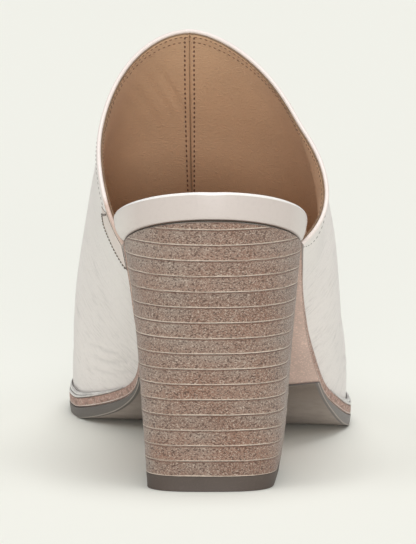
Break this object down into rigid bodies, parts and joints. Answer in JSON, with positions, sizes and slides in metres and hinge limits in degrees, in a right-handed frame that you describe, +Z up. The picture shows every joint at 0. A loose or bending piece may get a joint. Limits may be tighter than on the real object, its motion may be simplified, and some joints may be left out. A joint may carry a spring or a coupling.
{
  "type": "mule shoe",
  "caption": "Right mule with a high smooth throat, open behind, on a tall stacked leather block heel with a welted rubber forepart.",
  "frame": {"origin": "middle of the heel's ground face, on the floor", "axes": "+X towards the lateral (outer) side, +Y towards the toe, +Z up; right shoe"},
  "size_m": [0.0941, 0.2328, 0.1348],
  "materials": {
    "cream_leather": "smooth satin, tan inside",
    "rand_leather": "smooth satin",
    "welt_leather": "pearly satin",
    "tan_leather": "matt, raw edge",
    "stacked_leather": "sanded, matt",
    "taupe_rubber": "matt"
  },
  "bodies": {
    "root": {"upper": "cream_leather", "footbed": "rand_leather", "welt": "welt_leather", "midsole": "tan_leather", "outsole": "taupe_rubber", "top_lift": "taupe_rubber", "heel_lift_01": "stacked_leather", "heel_lift_02": "stacked_leather", "heel_lift_03": "stacked_leather", "heel_lift_04": "stacked_leather", "heel_lift_05": "stacked_leather", "heel_lift_06": "stacked_leather", "heel_lift_07": "stacked_leather", "heel_lift_08": "stacked_leather", "heel_lift_09": "stacked_leather", "heel_lift_10": "stacked_leather", "heel_lift_11": "stacked_leather", "heel_lift_12": "stacked_leather", "heel_lift_13": "stacked_leather", "heel_lift_14": "stacked_leather", "heel_lift_15": "stacked_leather", "heel_lift_16": "stacked_leather", "heel_lift_17": "stacked_leather"}
  },
  "joints": []
}
